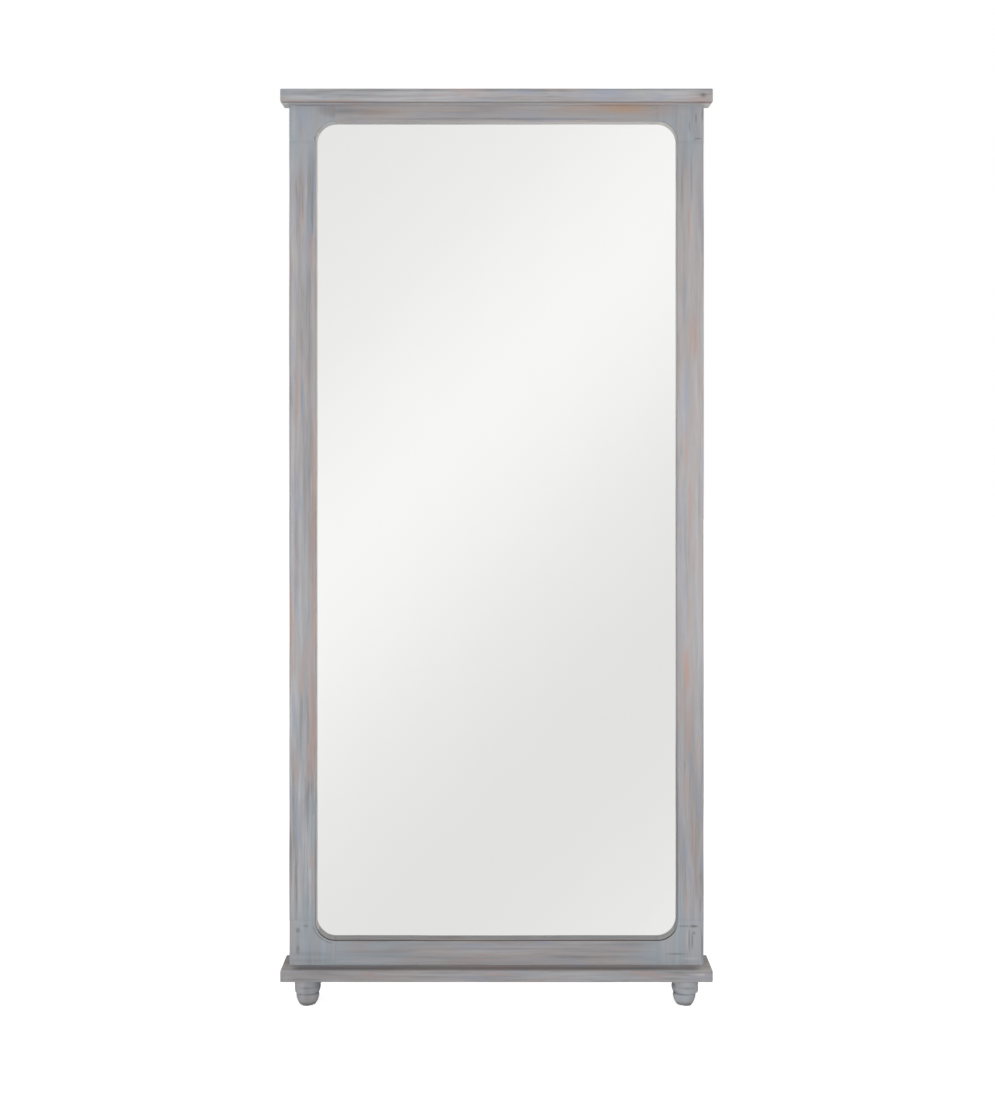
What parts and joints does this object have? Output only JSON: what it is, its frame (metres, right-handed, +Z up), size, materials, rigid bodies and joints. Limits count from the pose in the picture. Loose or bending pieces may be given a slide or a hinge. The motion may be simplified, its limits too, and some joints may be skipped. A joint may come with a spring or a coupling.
{
  "type": "floor-standing mirror",
  "caption": "Tall floor-standing mirror in a washed wood frame with rounded inner corners, a cornice board, a base board and turned bun feet.",
  "frame": {"origin": "on the floor, in the middle of the base board's width and depth", "axes": "+Z up, +X to the viewer's right, -Y out of the mirror's front towards the viewer"},
  "size_m": [0.8468, 0.11, 1.8],
  "materials": {
    "washed_wood": "grey-blue lime wash over brushed grain, rubbed through to warm brown in places, matt",
    "mirror": "silvered float glass",
    "hardboard": "raw brown hardboard",
    "plain_wood": "raw planed softwood",
    "zinc_steel": "bright zinc plate",
    "brass": "turned brass",
    "felt": "dense dark felt",
    "black_rubber": "black rubber"
  },
  "bodies": {
    "mirror": {"left_stile": "washed_wood", "right_stile": "washed_wood", "top_rail": "washed_wood", "bottom_rail": "washed_wood", "top_left_corner": "washed_wood", "top_right_corner": "washed_wood", "bottom_left_corner": "washed_wood", "bottom_right_corner": "washed_wood", "cornice_board": "washed_wood", "base_board": "washed_wood", "front_left_foot": "washed_wood", "front_right_foot": "washed_wood", "rear_left_foot": "washed_wood", "rear_right_foot": "washed_wood", "foot_bolts": "zinc_steel", "foot_inserts": "brass", "foot_pads": "felt", "mirror_glass": "mirror", "setting_blocks": "black_rubber", "backing_board": "hardboard", "left_strip": "plain_wood", "right_strip": "plain_wood", "bottom_strip": "plain_wood", "top_strip": "plain_wood", "frame_dowels": "plain_wood", "cornice_dowels": "plain_wood", "base_screws": "zinc_steel", "strip_screws": "zinc_steel", "left_hanger_plate": "zinc_steel", "right_hanger_plate": "zinc_steel", "hanger_screws": "zinc_steel"},
    "left_ring": {"left_hanger_ring": "zinc_steel"},
    "right_ring": {"right_hanger_ring": "zinc_steel"}
  },
  "joints": [
    {"name": "left_ring_swing", "type": "hinge", "parent": "mirror", "child": "left_ring", "pos_m": [-0.3895, 0.021, 1.4655], "axis": [1, 0, 0], "range_deg": [-4, 170]},
    {"name": "right_ring_swing", "type": "hinge", "parent": "mirror", "child": "right_ring", "pos_m": [0.3895, 0.021, 1.4655], "axis": [1, 0, 0], "range_deg": [-4, 170]}
  ]
}
